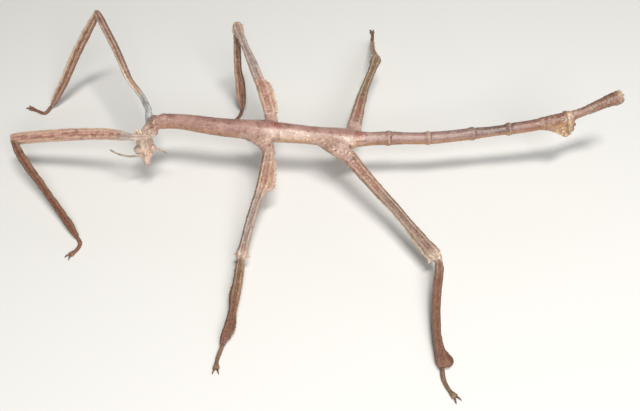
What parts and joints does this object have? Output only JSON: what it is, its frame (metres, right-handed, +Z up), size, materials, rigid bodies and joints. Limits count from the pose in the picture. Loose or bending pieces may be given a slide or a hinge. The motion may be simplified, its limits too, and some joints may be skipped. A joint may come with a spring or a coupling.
{
  "type": "giant stick insect",
  "caption": "Life-size still model of a wingless giant stick insect: long twig-like body, bent-down head with a spiny crown, six lobed legs spread on the floor.",
  "frame": {"origin": "the middle of the animal's footprint, at the level the feet stand on", "axes": "+X from head to tail, +Y from the animal's left side to its right side, +Z up"},
  "size_m": [0.1884, 0.152, 0.0327],
  "materials": {
    "cuticle": "satin, faintly grained brown shell",
    "eye": "glossy, faceted compound eye",
    "claw": "dark polished horn",
    "feeler": "matt, finely ringed"
  },
  "bodies": {
    "root": {"abdomen_10": "cuticle", "abdomen_2": "cuticle", "abdomen_3": "cuticle", "abdomen_4": "cuticle", "abdomen_5": "cuticle", "abdomen_6": "cuticle", "abdomen_7": "cuticle", "abdomen_8": "cuticle", "abdomen_9": "cuticle", "eye_left": "eye", "eye_right": "eye", "feeler_left": "feeler", "feeler_right": "feeler", "fore_left_claws": "claw", "fore_left_coxa": "cuticle", "fore_left_femur": "cuticle", "fore_left_tarsus": "cuticle", "fore_left_tibia": "cuticle", "fore_right_claws": "claw", "fore_right_coxa": "cuticle", "fore_right_femur": "cuticle", "fore_right_tarsus": "cuticle", "fore_right_tibia": "cuticle", "head": "cuticle", "hind_left_claws": "claw", "hind_left_coxa": "cuticle", "hind_left_femur": "cuticle", "hind_left_tarsus": "cuticle", "hind_left_tibia": "cuticle", "hind_right_claws": "claw", "hind_right_coxa": "cuticle", "hind_right_femur": "cuticle", "hind_right_tarsus": "cuticle", "hind_right_tibia": "cuticle", "mesothorax": "cuticle", "metathorax": "cuticle", "mid_left_claws": "claw", "mid_left_coxa": "cuticle", "mid_left_femur": "cuticle", "mid_left_tarsus": "cuticle", "mid_left_tibia": "cuticle", "mid_right_claws": "claw", "mid_right_coxa": "cuticle", "mid_right_femur": "cuticle", "mid_right_tarsus": "cuticle", "mid_right_tibia": "cuticle", "prothorax": "cuticle"}
  },
  "joints": []
}
